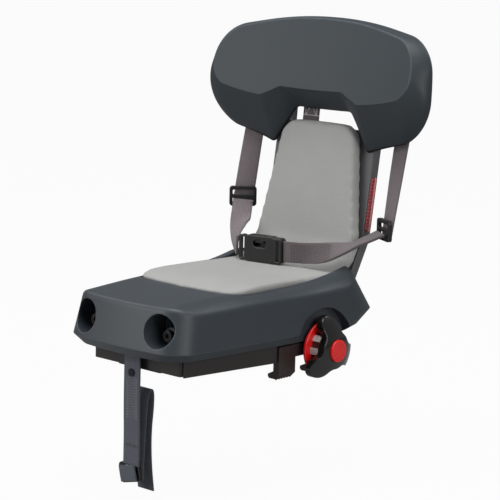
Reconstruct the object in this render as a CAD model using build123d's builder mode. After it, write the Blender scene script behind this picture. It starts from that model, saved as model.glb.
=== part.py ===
"""Child bike seat that clamps on a luggage carrier, in millimetres.

The origin lies on the plane where the seat rests on the carrier, under the clamp's spindle.
+Z is up, the seat faces -Y, and right is +X, as seen by someone who looks at its front.
"""

import os
from math import cos, radians, sin

from build123d import *

# Moulding, fits and webbing
wall = 3.0
clearance = 0.3
rib_thickness = 2.5
webbing_width = 25.0
webbing_thickness = 1.6

# Seat shell, from its lip up to the deck under the pad
lip_bottom = 22.0
lip_height = 10.0
lip_inset = 8.0
tail_level = 46.0
shell_top = 130.0
nose_y = -232.0
nose_lean = 22.0
nose_half = 89.0
nose_draft = 12.0
nose_bow = 8.0
nose_corner = 34.0
tail_y = 109.0
tail_slope = 58.0
tail_undercut = 23.0
tail_half = 115.0
tail_draft = 4.0
tail_bow = 6.0
tail_corner = 46.0
crease_radius = 7.0

# Deck: distance along the seat, half width of its flat and height
deck_round = 35.0
deck_stations = [
    (-262.0, nose_half - 31.0, 79.0),
    (-200.0, nose_half - 27.0, 82.5),
    (-110.0, nose_half - 19.0, 85.0),
    (-10.0, tail_half - 35.0, 85.5),
    (40.0, tail_half - 34.0, 91.5),
    (96.0, tail_half - 31.0, 104.0),
    (124.0, tail_half - 29.0, 110.0),
]
deck_rib_x = 30.0
deck_rib_bottom = 64.0
deck_rib_length = 190.0
deck_rib_y = -60.0

# Round pockets in the nose, each with a bolt on a boss at its end
pocket_x = 57.0
pocket_z = 55.5
pocket_diameter = 38.0
pocket_floor_y = -190.0
bolt_boss_z = 48.0
bolt_boss_diameter = 18.0
bolt_boss_length = 12.0
bolt_head_diameter = 13.0
bolt_head_height = 6.0
bolt_socket = 6.0
bolt_shank_diameter = 8.0
bolt_shank_length = 20.0

# Arch in the right side for the knob
arch_radius = 44.5
arch_z = 14.5
arch_inner_x = 97.0

# Foam pad
pad_half = 80.0
pad_front_y = -130.0
pad_front_bow = 8.0
pad_corner = 22.0
pad_underside = 82.3
pad_front_thickness = 5.0
pad_crest_y = -88.0
pad_crest_z = 92.0
pad_crest_radius = 250.0
pad_bend_y = 78.0
pad_bend_z = 88.0
pad_bend_radius = 42.0
pad_outer_radius = 54.0
pad_back_thickness = 16.0
pad_back_lean = 0.156
pad_top = 257.0
pad_top_half = 56.0
pad_shoulder_z = 100.0
pad_top_corner = 24.0

# Back frame: two arms joined by a panel and a crossbar
arm_outer_x = 77.0
arm_width = 17.0
arm_depth = 13.5
frame_foot_y = 42.0
frame_bend_y = 77.5
frame_bend_z = 78.0
frame_lumbar_z = 120.0
frame_gap = 1.5
frame_top_z = 345.0
frame_top_lean = 0.08
frame_radii = [60.0, 30.0, 160.0]
panel_thickness = 3.5
panel_top = 250.0
crossbar_height = 14.0
panel_rib_levels = [130.0, 152.0, 174.0, 196.0]
panel_rib_depth = 7.0
frame_screw_y = 49.0
frame_screw_length = 12.0

# Side reflectors on the arms
reflector_length = 66.0
reflector_width = 10.0
reflector_thickness = 2.0
reflector_z = 164.0

# Headrest: right half of its outline at three depths, across and up from its crease level
head_front_y = 88.6
head_wing_forward = 13.0
head_wing_x = 155.0
head_level = 298.0
head_face_lean = 0.28
head_lean = 0.08
head_thickness = 30.0
head_depths = [72.0, 88.0, 130.0]
head_outlines = [
    [(52.0, 13.0), (78.0, 6.0), (150.0, 12.0), (139.0, 62.0), (50.0, 82.0)],
    [(48.0, -1.0), (76.0, -17.0), (171.0, -20.0), (160.0, 66.0), (50.0, 86.0)],
    [(41.0, -32.0), (73.0, -75.5), (150.0, -62.0), (150.0, 68.0), (50.0, 88.0)],
]
head_radii = [
    [10.0, 9.0, 18.0, 43.0, 430.0],
    [10.0, 9.0, 30.0, 48.0, 520.0],
    [10.0, 9.0, 34.0, 40.0, 480.0],
]
head_wall = 5.0
head_skin = 3.5
cover_thickness = 2.5
head_boss_diameter = 12.0
head_rail_bottom = frame_top_z - 81.0
head_rail_top = frame_top_z - 13.0
head_screw_levels = [frame_top_z - 65.0, frame_top_z - 29.0]

# Screws: shank diameter, head diameter and head height
screw_diameter = 4.5
screw_head = 9.0
screw_head_height = 2.5
head_screw_length = 18.0
base_screw_length = 16.0
strap_screw_length = 5.0

# Base under the shell
base_front_y = -197.0
base_rear_y = 58.0
base_half_front = 67.0
base_half_rear = 90.5
base_side_y = -47.5
base_corner = 3.0
base_rear_corner = 20.0
base_underside = 2.0
base_top_thickness = 3.0
base_floor_length = 44.0
rail_thickness = 3.0
base_boss_diameter = 10.0
base_screw_points = [(44.0, -170.0), (62.0, -92.0), (80.0, 33.0)]
foot_length = 34.0
foot_half = 34.0

# Carrier clamp
spindle_z = 11.5
spindle_diameter = 8.0
spindle_left_x = -88.0
jaw_front_y = -62.0
jaw_rear_y = 22.0
jaw_outer_x = 93.0
jaw_inner_x = 58.0
jaw_leg = 9.0
jaw_lip_x = 76.0
jaw_lip_top = -10.0
jaw_bottom = -19.0
jaw_chamfer = 6.0
jaw_travel_in = 24.0
hook_length = 28.0
grip_rib_count = 6
grip_rib_width = 2.0
grip_rib_height = 1.2
plate_thickness = 2.0
plate_half = 84.0
plate_border = 4.0
plate_screw_points = [(22.0, -45.0), (22.0, 16.0)]
plate_screw_diameter = 3.5
plate_screw_head = 7.0
plate_screw_head_height = 1.6
plate_screw_length = 10.0
plate_boss_diameter = 8.0
mat_margin = 3.0
nut_width = 11.0
nut_length = 10.0
nut_x = 70.0
bearing_half = 12.0
bearing_length = 26.0
collar_diameter = 13.0
collar_length = 6.0

# Clamp knob, from the base outwards
flange_x = 101.2
flange_thickness = 4.0
flange_diameter = 62.0
drum_diameter = 46.0
drum_length = 11.0
drum_flutes = 9
drum_flute_radius = 5.0
cap_length = 11.0
cap_lobes = 3
cap_lobe_reach = 40.0
cap_lobe_radius = 13.0
cap_hub_radius = 22.0
cap_lobe_angle = 100.0
cap_valley_radius = 12.0
cap_lobe_sweep = 13.5
cap_lobe_depth = 7.0
well_depth = 8.5
knob_nut_width = 13.0
knob_nut_length = 4.5
button_diameter = 26.0
button_face = 3.0
button_skirt = 5.0
button_wall = 2.0
button_standout = 2.8
spring_radius = 9.2
spring_wire = 1.0
spring_turns = 3

# Harness
shoulder_x = 116.0
shoulder_top = 300.0
strap_standoff = 18.0
slider_x = 113.0
slider_y = 97.0
slider_right_z = 140.0
slider_left_z = 154.0
slider_right_turn = 27.0
slider_left_turn = 45.0
slider_width = 34.0
slider_height = 25.0
slider_thickness = 4.5
slider_bar = 4.0
slider_slot = 6.0
waist_bend_right = Vector(93, 63, 119)
waist_mid_right = Vector(64, 49, 108)
waist_lap_right = Vector(34, 46, 106.5)
waist_drop_left = Vector(-103, 84, 133)
waist_bend_left = Vector(-84, 57, 117)
buckle_point = (-23.5, 34.0, 106.2)
buckle_turn = 10.0
buckle_height = 33.0
buckle_thickness = 11.0
buckle_body = 40.0
buckle_loop = 10.5
buckle_slot = 5.0
buckle_wall = 2.2
buckle_corner = 5.0
prong_width = 4.5
prong_length = 27.0
back_strap_x = -29.0
back_strap_bottom = 204.0

# Safety strap that hangs from the nose
safety_y = -204.0
safety_top = 48.0
safety_end = -110.0
safety_rivet_z = -3.0
safety_rivet_diameter = 9.0
safety_rivet_height = 1.2
ladder_x = -4.0
ladder_z = -119.0
ladder_width = 31.0
ladder_height = 24.0
ladder_thickness = 4.0
ladder_bar = 4.0
ladder_turn = 14.0
tail_route = [(6.3, -127.0), (8.0, -90.0), (13.0, -24.0), (24.5, -24.0), (16.0, -92.0), (24.0, -143.0)]
tail_radii = [60.0, 5.0, 5.0, 60.0]

# Places worked out from the sizes above
lip_top = lip_bottom + lip_height
tail_share = (tail_level - lip_top) / (shell_top - lip_top)
tail_nose_y = nose_y + tail_share * nose_lean
tail_nose_half = nose_half - tail_share * nose_draft
shell_sections = [
    (
        lip_bottom,
        nose_y + lip_inset,
        tail_y - 2 * tail_undercut,
        nose_half - lip_inset,
        tail_half - lip_inset,
    ),
    (lip_top, nose_y, tail_y - tail_undercut, nose_half, tail_half),
    (tail_level, tail_nose_y, tail_y, tail_nose_half, tail_half),
    (shell_top, nose_y + nose_lean, tail_y - tail_slope, nose_half - nose_draft, tail_half - tail_draft),
]
pad_top_y = pad_bend_y + pad_back_lean * (pad_top - pad_bend_z)
pad_rear_y = pad_bend_y + pad_back_thickness
arm_inner_x = arm_outer_x - arm_width
arm_centre_x = arm_outer_x - arm_width / 2
base_ceiling = lip_bottom - base_top_thickness
plate_top = base_underside + plate_thickness
jaw_block_bottom = plate_top + clearance
jaw_block_top = base_ceiling - clearance
hook_starts = [jaw_front_y, jaw_rear_y - hook_length]
notch_x = jaw_outer_x - jaw_leg - jaw_travel_in - 0.5
drum_x = flange_x + flange_thickness
cap_x = drum_x + drum_length
well_x = cap_x + cap_length - well_depth
button_x = cap_x + cap_length + button_standout
slider_right_plane = Plane(
    origin=(slider_x, slider_y, slider_right_z),
    x_dir=(cos(radians(slider_right_turn)), -sin(radians(slider_right_turn)), 0),
    z_dir=(-sin(radians(slider_right_turn)), -cos(radians(slider_right_turn)), 0),
)
slider_left_plane = Plane(
    origin=(-slider_x, slider_y, slider_left_z),
    x_dir=(cos(radians(slider_left_turn)), sin(radians(slider_left_turn)), 0),
    z_dir=(sin(radians(slider_left_turn)), -cos(radians(slider_left_turn)), 0),
)
waist_off = slider_thickness / 2 + webbing_thickness + 2 * clearance
buckle_plane = Plane(
    origin=buckle_point,
    x_dir=(cos(radians(buckle_turn)), sin(radians(buckle_turn)), 0),
    z_dir=(sin(radians(buckle_turn)), -cos(radians(buckle_turn)), 0),
)


def back_line(level):
    """Front face of the pad's back at one height."""
    return pad_bend_y + pad_back_lean * (level - pad_bend_z)


def frame_face(level):
    """Front face of the arms at one height above the lumbar bend."""
    straight = min(level, pad_top)
    return back_line(straight) + pad_back_thickness + frame_gap + frame_top_lean * (level - straight)


def head_back(x, level):
    """Rear face of the headrest at one place."""
    middle = head_front_y + head_thickness + head_lean * (level - head_level)
    return middle - head_wing_forward * (x / head_wing_x) ** 2


def tray_half(y):
    """Half width of the base at one distance along it."""
    taper = (base_half_rear - base_half_front) / (base_side_y - base_front_y)
    return min(base_half_rear, base_half_front + taper * (y - base_front_y))


def both_sides(points):
    """Each point and its twin on the other side of the seat."""
    return [(side * x, y) for x, y in points for side in (1, -1)]


def shell_loft(inset):
    """Shell body below the deck: bowed nose, tapering sides, undercut and sloping tail."""
    with BuildPart() as body:
        for level, front, rear, half_front, half_rear in shell_sections:
            with BuildSketch(Plane.XY.offset(level)) as section:
                nose_end = (half_front - inset, front + nose_bow + inset)
                tail_end = (half_rear - inset, rear - tail_bow - 2 * inset)
                with BuildLine():
                    ThreePointArc((-nose_end[0], nose_end[1]), (0, front + inset), nose_end)
                    Line(nose_end, tail_end)
                    ThreePointArc(tail_end, (0, rear - 2 * inset), (-tail_end[0], tail_end[1]))
                    Line((-tail_end[0], tail_end[1]), (-nose_end[0], nose_end[1]))
                make_face()
                fillet(section.vertices().group_by(Axis.Y)[0], nose_corner - inset)
                fillet(section.vertices().group_by(Axis.Y)[-1], tail_corner - inset)
        loft(ruled=True)
    return body.part


def deck_form(drop):
    """Everything under the deck: flat on top, rounded down towards both sides."""
    with BuildPart() as form:
        for y, half, height in deck_stations:
            with BuildSketch(Plane.XZ.offset(-y)):
                with BuildLine():
                    top = Line((-half, height - drop), (half, height - drop))
                    right = JernArc(top @ 1, (1, 0), deck_round, -80)
                    left = JernArc(top @ 0, (-1, 0), deck_round, 80)
                    Polyline(right @ 1, ((right @ 1).X, 0), ((left @ 1).X, 0), left @ 1)
                make_face()
        loft()
    return form.part


def pad_plan(margin):
    """Plan of the pad with its bowed front, as an upright prism."""
    half = pad_half + margin
    corner_y = pad_front_y + pad_front_bow - margin
    with BuildPart() as prism:
        with BuildSketch(Plane.XY) as plan:
            with BuildLine():
                ThreePointArc((-half, corner_y), (0, pad_front_y - margin), (half, corner_y))
                Polyline((half, corner_y), (half, 2 * tail_y), (-half, 2 * tail_y), (-half, corner_y))
            make_face()
            fillet(plan.vertices().group_by(Axis.Y)[0], pad_corner + margin)
        extrude(amount=2 * pad_top)
    return prism.part


def pad_recess(margin):
    """Room for the pad and for the sitter above it, grown by a margin below and behind."""
    low = pad_underside - margin
    rear = pad_rear_y + margin
    start = (2 * pad_front_y, low)
    end = (rear + pad_back_lean * (pad_top - pad_bend_z), pad_top)
    with BuildPart() as room:
        with BuildSketch(Plane.YZ):
            with BuildLine():
                corner = (rear - pad_back_lean * (pad_bend_z - low), low)
                FilletPolyline(start, corner, end, radius=pad_outer_radius + margin)
                Polyline(end, (2 * pad_front_y, pad_top), start)
            make_face()
        extrude(amount=2 * pad_half, both=True)
        add(pad_plan(margin), mode=Mode.INTERSECT)
    return room.part


def frame_slab(near, far, half):
    """Curved slab between two distances behind the front of the arms."""
    spine = [
        (frame_foot_y, lip_bottom),
        (frame_bend_y, frame_bend_z),
        (frame_face(frame_lumbar_z), frame_lumbar_z),
        (frame_face(pad_top), pad_top),
        (frame_face(frame_top_z), frame_top_z),
    ]
    front = [(y + near, z) for y, z in spine]
    rear = [(y + far, z) for y, z in spine]
    with BuildPart() as slab:
        with BuildSketch(Plane.YZ):
            with BuildLine():
                FilletPolyline(*front, radius=frame_radii)
                FilletPolyline(*rear, radius=frame_radii)
                Line(front[0], rear[0])
                Line(front[-1], rear[-1])
            make_face()
        extrude(amount=half, both=True)
    return slab.part


def frame_form(margin):
    """Arms with the panel between them, grown by a margin."""
    with BuildPart() as form:
        add(frame_slab(-margin, arm_depth + margin, arm_outer_x + margin))
        behind = frame_slab(panel_thickness + margin, 2 * arm_depth, arm_inner_x - margin)
        add(behind, mode=Mode.SUBTRACT)
    return form.part


def head_loft(inset):
    """Headrest through its outlines: a steep band round the face, deep tips beside the notch."""
    with BuildPart() as body:
        for depth, outline, radii in zip(head_depths, head_outlines, head_radii):
            left = [(-x, z) for x, z in reversed(outline)]
            plane = Plane(origin=(0, depth, head_level), x_dir=(1, 0, 0), z_dir=(0, -1, head_face_lean))
            with BuildSketch(plane):
                with BuildLine():
                    FilletPolyline(*outline, *left, radius=radii + radii[::-1], close=True)
                make_face()
                if inset:
                    offset(amount=-inset)
        loft()
    return body.part


def head_side(shift, lean, reach_y):
    """Everything on one side of a hollow surface across the headrest."""
    reach = 1.3 * head_wing_x
    bottom = head_level - 2 * head_wing_x
    centre = head_front_y + shift + lean * (bottom - head_level)
    side = centre - head_wing_forward * (reach / head_wing_x) ** 2
    with BuildPart() as block:
        with BuildSketch(Plane.XY.offset(bottom)):
            with BuildLine():
                ThreePointArc((-reach, side), (0, centre), (reach, side))
                Polyline((reach, side), (reach, side + reach_y), (-reach, side + reach_y), (-reach, side))
            make_face()
        extrude(amount=4 * head_wing_x, dir=(0, lean, 1))
    return block.part


def head_slab(near, far):
    """Room between a depth behind the headrest's face and one before or behind its rear."""
    with BuildPart() as slab:
        add(head_side(near, head_face_lean, 2 * head_wing_x))
        add(head_side(head_thickness + far, head_lean, -2 * head_wing_x), mode=Mode.INTERSECT)
    return slab.part


def pocket_bores(diameter, end_y):
    """Two round bores that run back from the nose to one distance along the seat."""
    with BuildPart() as bores:
        with BuildSketch(Plane.XZ.offset(-2 * nose_y)):
            with Locations((pocket_x, pocket_z), (-pocket_x, pocket_z)):
                Circle(diameter / 2)
        extrude(amount=-(end_y - 2 * nose_y))
    return bores.part


def arch_bore(radius, start_x):
    """Cylinder round the knob, from inside the shell outwards."""
    with BuildPart() as bore:
        with BuildSketch(Plane.YZ.offset(start_x)):
            with Locations((0, arch_z)):
                Circle(radius)
        extrude(amount=tail_half)
    return bore.part


def screw(plane, shank, length, head, head_height):
    """Screw with its head on the plane and its shank behind it."""
    with BuildPart() as fastener:
        with BuildSketch(plane):
            Circle(head / 2)
        extrude(amount=head_height)
        with BuildSketch(plane):
            Circle(shank / 2)
        extrude(amount=-length)
    return fastener.part


def head_screw_planes():
    """Seats of the headrest screws on the rear of the arms."""
    return [
        Plane(origin=(x, frame_face(z) + arm_depth, z), x_dir=(1, 0, 0), z_dir=(0, 1, -frame_top_lean))
        for x in (arm_centre_x, -arm_centre_x)
        for z in head_screw_levels
    ]


def strap_screw_planes():
    """Seats of the shoulder strap screws behind the headrest cover."""
    level = shoulder_top - webbing_width / 4
    seat_y = head_back(shoulder_x, level) + strap_standoff + 2 * clearance + webbing_thickness
    slope = 2 * head_wing_forward * shoulder_x / head_wing_x**2
    planes = []
    for side in (1, -1):
        facing = (side * slope, 1, -head_lean)
        origin = (side * shoulder_x, seat_y, level)
        planes.append(Plane(origin=origin, x_dir=(1, -side * slope, 0), z_dir=facing))
    return planes


def base_outline(inset):
    """Plan of the base: tapering sides that run parallel beside the jaws."""
    right = [
        (base_half_front - inset, base_front_y + inset),
        (base_half_rear - inset, base_side_y),
        (base_half_rear - inset, base_rear_y - inset),
    ]
    with BuildSketch() as plan:
        with BuildLine():
            Polyline(*right, *[(-x, y) for x, y in reversed(right)], close=True)
        make_face()
    return plan.sketch


def plate_outline(margin):
    """Plan of the clamp plate with notches for the hooks, drawn in by a margin."""
    front = jaw_front_y - plate_border + margin
    rear = jaw_rear_y + plate_border - margin
    inner = notch_x - margin
    notch_length = hook_length + 2 * margin + 4 * clearance
    with BuildSketch() as plan:
        with Locations((0, (front + rear) / 2)):
            Rectangle(2 * (plate_half - margin), rear - front)
        for start in hook_starts:
            notches = both_sides([((inner + plate_half) / 2, start + hook_length / 2)])
            with Locations(*notches):
                Rectangle(plate_half - inner, notch_length, mode=Mode.SUBTRACT)
    return plan.sketch


def ribbon(stations, thickness):
    """Flat strap through points, square to its run and turned to its own width at each one."""
    last = len(stations) - 1
    with BuildPart() as strap:
        for index, (point, across) in enumerate(stations):
            run = (stations[min(index + 1, last)][0] - stations[max(index - 1, 0)][0]).normalized()
            with BuildSketch(Plane(origin=point, x_dir=across - run * across.dot(run), z_dir=run)):
                Rectangle(webbing_width, thickness)
        loft(ruled=True)
    return strap.part


def slider_form(plane):
    """Flat slider with a slot on each side of its bar."""
    slot_y = (slider_slot + slider_bar) / 2
    with BuildPart() as slider:
        with BuildSketch(plane):
            RectangleRounded(slider_width, slider_height, slider_bar)
            with Locations((0, slot_y), (0, -slot_y)):
                inner_width = slider_width - 2 * slider_bar
                RectangleRounded(inner_width, slider_slot, slider_slot / 4, mode=Mode.SUBTRACT)
        extrude(amount=slider_thickness / 2, both=True)
    return slider.part


def shoulder_strap(plane, side):
    """Webbing from its screw behind the headrest down to one slider."""
    lift = webbing_thickness / 2 + clearance
    flat = Vector(side, -2 * head_wing_forward * shoulder_x / head_wing_x**2, 0)
    levels = [shoulder_top, shoulder_top - webbing_width]
    hung = [(shoulder_x, head_back(shoulder_x, z) + strap_standoff + lift, z) for z in levels]
    foot = plane.from_local_coords((0, slider_bar / 2, -slider_thickness / 2 - lift))
    with BuildPart() as strap:
        stations = [(Vector(side * x, y, z), flat) for x, y, z in hung]
        start = stations[-1][0]
        turned = plane.x_dir * side
        stations.append((start + (foot - start) * 0.5, flat.normalized() + turned))
        stations.append((foot, turned))
        add(ribbon(stations, webbing_thickness))
        with BuildSketch(strap_screw_planes()[0 if side > 0 else 1]):
            Circle(screw_diameter / 2 + clearance)
        extrude(amount=-strap_screw_length, mode=Mode.SUBTRACT)
    return strap.part


# Seat shell: deck, nose pockets, knob arch and a hollow with ribs and screw bosses
with BuildPart() as shell_outside:
    add(shell_loft(0))
    add(deck_form(0), mode=Mode.INTERSECT)
    fillet(shell_outside.edges(Select.NEW), crease_radius)

with BuildPart() as shell_cavity:
    add(shell_loft(wall))
    add(deck_form(wall), mode=Mode.INTERSECT)
    add(pad_recess(clearance + wall), mode=Mode.SUBTRACT)
    add(pocket_bores(pocket_diameter + 2 * wall, pocket_floor_y + wall), mode=Mode.SUBTRACT)
    add(arch_bore(arch_radius + wall, arch_inner_x - wall), mode=Mode.SUBTRACT)
    with BuildSketch(Plane.XY.offset(lip_bottom)):
        with Locations(*both_sides(base_screw_points)):
            Circle(base_boss_diameter / 2)
    extrude(amount=shell_top, mode=Mode.SUBTRACT)
    with BuildSketch(Plane.XY.offset(safety_top - webbing_width / 2)):
        with Locations((0, safety_y + webbing_thickness / 2 + clearance + wall / 2)):
            Rectangle(webbing_width + 2 * wall, wall)
    extrude(amount=shell_top, mode=Mode.SUBTRACT)
    with BuildSketch(Plane.XY.offset(deck_rib_bottom)):
        with Locations((deck_rib_x, deck_rib_y), (-deck_rib_x, deck_rib_y)):
            Rectangle(rib_thickness, deck_rib_length)
    extrude(amount=shell_top, mode=Mode.SUBTRACT)

with BuildPart() as seat_shell:
    add(shell_outside.part)
    add(shell_cavity.part, mode=Mode.SUBTRACT)
    add(pad_recess(clearance), mode=Mode.SUBTRACT)
    add(pocket_bores(pocket_diameter, pocket_floor_y), mode=Mode.SUBTRACT)
    add(arch_bore(arch_radius, arch_inner_x), mode=Mode.SUBTRACT)
    add(frame_form(clearance), mode=Mode.SUBTRACT)
    with BuildSketch(Plane.XZ.offset(-pocket_floor_y)):
        with Locations((pocket_x, bolt_boss_z), (-pocket_x, bolt_boss_z)):
            Circle(bolt_boss_diameter / 2)
    extrude(amount=bolt_boss_length)
    with BuildSketch(Plane.XZ.offset(bolt_boss_length - pocket_floor_y)):
        with Locations((pocket_x, bolt_boss_z), (-pocket_x, bolt_boss_z)):
            Circle(bolt_shank_diameter / 2 + clearance)
    extrude(amount=-bolt_shank_length, mode=Mode.SUBTRACT)
    with BuildSketch(Plane.XY.offset(lip_bottom)):
        with Locations(*both_sides(base_screw_points)):
            Circle(screw_diameter / 2 + clearance)
    extrude(amount=base_screw_length, mode=Mode.SUBTRACT)
    with BuildSketch(Plane.XZ.offset(-safety_y)):
        with Locations((0, safety_top - webbing_width / 4)):
            Circle(screw_diameter / 2 + clearance)
    extrude(amount=-strap_screw_length - wall, mode=Mode.SUBTRACT)

with BuildPart() as front_bolts:
    for x in (pocket_x, -pocket_x):
        end = (x, pocket_floor_y - bolt_boss_length, bolt_boss_z)
        seat = Plane(origin=end, x_dir=(1, 0, 0), z_dir=(0, -1, 0))
        add(screw(seat, bolt_shank_diameter, bolt_shank_length, bolt_head_diameter, bolt_head_height))
        with BuildSketch(seat.offset(bolt_head_height)):
            RegularPolygon(bolt_socket / 2, 6)
        extrude(amount=-bolt_head_height / 2, mode=Mode.SUBTRACT)

# Foam pad: one piece for the seat and the back
with BuildPart() as seat_pad:
    with BuildSketch(Plane.YZ):
        with BuildLine():
            over = FilletPolyline(
                (pad_front_y, pad_underside + pad_front_thickness),
                (pad_crest_y, pad_crest_z),
                (pad_bend_y, pad_bend_z),
                (pad_top_y, pad_top),
                radius=[pad_crest_radius, pad_bend_radius],
            )
            under = FilletPolyline(
                (pad_top_y + pad_back_thickness, pad_top),
                (pad_rear_y - pad_back_lean * (pad_bend_z - pad_underside), pad_underside),
                (pad_front_y, pad_underside),
                radius=pad_outer_radius,
            )
            Line(over @ 1, under @ 0)
            Line(under @ 1, over @ 0)
        make_face()
    extrude(amount=2 * pad_half, both=True)
    add(pad_plan(0), mode=Mode.INTERSECT)
    with BuildSketch(Plane.XZ) as elevation:
        with BuildLine():
            shoulders = [(pad_half, 0), (pad_half, pad_shoulder_z), (pad_top_half, pad_top)]
            Polyline(*shoulders, *[(-x, z) for x, z in reversed(shoulders)], close=True)
        make_face()
        fillet(elevation.vertices().group_by(Axis.Y)[-1], pad_top_corner)
    extrude(amount=2 * tail_y, both=True, mode=Mode.INTERSECT)

# Back frame: channel-shaped arms, ribbed panel behind the pad, window and crossbar above it
with BuildPart() as back_frame:
    add(frame_form(0))
    window_height = frame_top_z - crossbar_height - panel_top
    with BuildSketch(Plane.XZ):
        with Locations((0, panel_top + window_height / 2)):
            RectangleRounded(2 * arm_inner_x, window_height, 2 * panel_thickness)
    extrude(amount=2 * tail_y, both=True, mode=Mode.SUBTRACT)
    for level in panel_rib_levels:
        rear = frame_face(level) + panel_thickness
        with BuildSketch(Plane.XY.offset(level)):
            with Locations((0, rear + panel_rib_depth / 2 - panel_thickness / 4)):
                Rectangle(2 * arm_inner_x, panel_rib_depth + panel_thickness / 2)
        extrude(amount=rib_thickness)
    for plane in head_screw_planes():
        with BuildSketch(plane.offset(clearance)):
            Circle(screw_diameter / 2 + clearance)
        extrude(amount=-2 * arm_depth, mode=Mode.SUBTRACT)
    with BuildSketch(Plane.XY.offset(lip_bottom)):
        with Locations((arm_centre_x, frame_screw_y), (-arm_centre_x, frame_screw_y)):
            Circle(screw_diameter / 2 + clearance)
    extrude(amount=frame_screw_length, mode=Mode.SUBTRACT)

with BuildPart() as reflector_right:
    lean = pad_back_lean
    centre_y = frame_face(reflector_z) + arm_depth / 2
    with BuildSketch(Plane(origin=(arm_outer_x, centre_y, reflector_z), x_dir=(0, lean, 1), z_dir=(1, 0, 0))):
        SlotOverall(reflector_length, reflector_width)
    extrude(amount=reflector_thickness)
    fillet(reflector_right.faces().sort_by(Axis.X)[-1].edges(), reflector_thickness / 2)

with BuildPart() as reflector_left:
    mirror(reflector_right.part, about=Plane.YZ)

# Headrest: hollow shield with a cover behind it, screwed to the arms
with BuildPart() as head_cavity:
    add(head_loft(head_wall))
    add(head_slab(head_skin, head_thickness), mode=Mode.INTERSECT)
    for plane in head_screw_planes():
        with BuildSketch(plane):
            Circle(head_boss_diameter / 2)
        extrude(amount=-4 * head_thickness, mode=Mode.SUBTRACT)

with BuildPart() as cover_seat:
    add(head_loft(head_wall))
    add(head_side(head_thickness - cover_thickness, head_lean, head_thickness), mode=Mode.INTERSECT)

with BuildPart() as headrest_shell:
    add(head_loft(0))
    add(head_slab(0, 0), mode=Mode.INTERSECT)
    add(head_cavity.part, mode=Mode.SUBTRACT)
    add(cover_seat.part, mode=Mode.SUBTRACT)

with BuildPart() as headrest_cover:
    add(head_loft(head_wall + clearance))
    add(head_slab(0, 0), mode=Mode.INTERSECT)
    add(head_side(head_thickness - cover_thickness, head_lean, head_thickness), mode=Mode.INTERSECT)
    for plane in strap_screw_planes():
        with BuildSketch(plane.offset(-webbing_thickness - 2 * clearance)):
            Circle(head_boss_diameter / 2)
        extrude(amount=-strap_standoff - cover_thickness / 2)
    for start in (arm_inner_x, -arm_outer_x):
        with BuildSketch(Plane.YZ.offset(start + clearance)):
            with BuildLine():
                Polyline(
                    (head_back(arm_centre_x, head_rail_bottom) - cover_thickness / 2, head_rail_bottom),
                    (frame_face(head_rail_bottom), head_rail_bottom),
                    (frame_face(head_rail_top), head_rail_top),
                    (head_back(arm_centre_x, head_rail_top) - cover_thickness / 2, head_rail_top),
                    close=True,
                )
            make_face()
        extrude(amount=arm_width - 2 * clearance)
    for plane in head_screw_planes():
        with BuildSketch(plane):
            Circle(screw_diameter / 2 + clearance)
        extrude(amount=-head_screw_length - clearance, mode=Mode.SUBTRACT)
    for plane in strap_screw_planes():
        with BuildSketch(plane):
            Circle(screw_diameter / 2 + clearance)
        extrude(amount=-2 * strap_screw_length, mode=Mode.SUBTRACT)

with BuildPart() as headrest_screws:
    for plane in head_screw_planes():
        add(screw(plane, screw_diameter, head_screw_length, screw_head, screw_head_height))

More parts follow.
